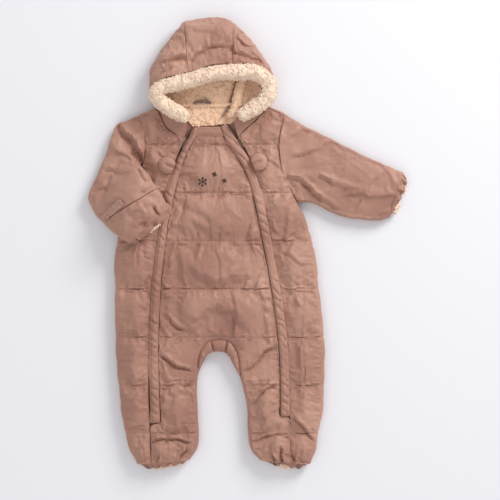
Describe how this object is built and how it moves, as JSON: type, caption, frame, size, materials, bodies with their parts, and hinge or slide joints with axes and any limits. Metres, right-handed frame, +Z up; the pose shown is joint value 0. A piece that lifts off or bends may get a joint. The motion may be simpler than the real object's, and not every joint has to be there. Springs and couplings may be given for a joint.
{
  "type": "baby snowsuit",
  "caption": "Baby's hooded snowsuit of quilted padded cloth with pile lining, laid flat: curved zips under plackets, ear tabs, one sleeve folded down.",
  "frame": {"origin": "middle of the laid-out suit on the surface it lies on", "axes": "+Z up from the surface, +Y from the feet to the hood, +X to the viewer's right"},
  "size_m": [0.5166, 0.726, 0.0558],
  "materials": {
    "shell_cloth": "satin",
    "pile": "matte pile",
    "zip_tape": "matte",
    "ribbon": "satin",
    "slider_metal": "dark gunmetal"
  },
  "bodies": {
    "suit": {"back": "shell_cloth", "front_centre": "shell_cloth", "front_left": "shell_cloth", "front_right": "shell_cloth", "neck_band": "shell_cloth", "placket_left": "shell_cloth", "placket_right": "shell_cloth", "ear_left": "shell_cloth", "ear_right": "shell_cloth", "crotch_gusset": "shell_cloth", "sleeve_left": "shell_cloth", "hand_cover_left": "shell_cloth", "cuff_left": "shell_cloth", "cuff_strap": "shell_cloth", "sleeve_right": "shell_cloth", "cuff_right": "shell_cloth", "foot_hem_left": "shell_cloth", "foot_hem_right": "shell_cloth", "hood_left": "shell_cloth", "hood_centre": "shell_cloth", "hood_right": "shell_cloth", "collar_left": "shell_cloth", "collar_right": "shell_cloth", "hood_trim": "pile", "hood_lining": "pile", "back_lining": "pile", "zip_left": "zip_tape", "zip_right": "zip_tape", "hanger_loop": "ribbon", "zip_slider_left": "slider_metal", "zip_slider_right": "slider_metal"},
    "pull_left": {"zip_pull_left": "slider_metal"},
    "pull_right": {"zip_pull_right": "slider_metal"}
  },
  "joints": [
    {"name": "pull_left_hinge", "type": "hinge", "parent": "suit", "child": "pull_left", "pos_m": [-0.10173, 0.164, 0.0227], "axis": [-0.9205, 0.3907, 0], "range_deg": [0, 110]},
    {"name": "pull_right_hinge", "type": "hinge", "parent": "suit", "child": "pull_right", "pos_m": [-0.01713, 0.164, 0.0227], "axis": [-0.8387, -0.5446, 0], "range_deg": [0, 110]}
  ]
}
